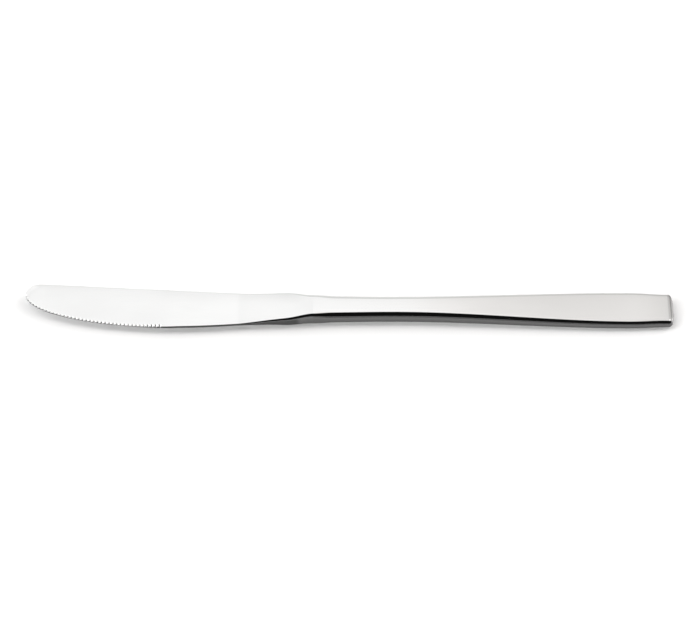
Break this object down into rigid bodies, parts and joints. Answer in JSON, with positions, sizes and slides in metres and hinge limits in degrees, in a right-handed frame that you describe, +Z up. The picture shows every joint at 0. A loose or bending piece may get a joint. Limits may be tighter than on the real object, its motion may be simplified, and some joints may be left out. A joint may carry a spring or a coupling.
{
  "type": "table knife",
  "caption": "Polished stainless table knife with a toothed, round-tipped blade, a bolster and a flat hollow handle, for cutting food at the table.",
  "frame": {"origin": "on the flat underside of the handle, on the knife's long axis, halfway along the handle", "axes": "+X along the knife from the blade's tip to the handle's end, +Y from the cutting edge to the spine, +Z up through the side that faces up as the knife lies"},
  "size_m": [0.235, 0.0199, 0.0056],
  "materials": {
    "blade_steel": "mirror-polished hardenable stainless steel, finely ground along the toothed edge",
    "handle_steel": "mirror-polished stainless sheet, pressed and ground flush along the seam",
    "filling": "set cement filling, matt and slightly grainy"
  },
  "bodies": {
    "root": {"blade": "blade_steel", "handle_face_shell": "handle_steel", "handle_back_shell": "handle_steel", "handle_filling": "filling"}
  },
  "joints": []
}
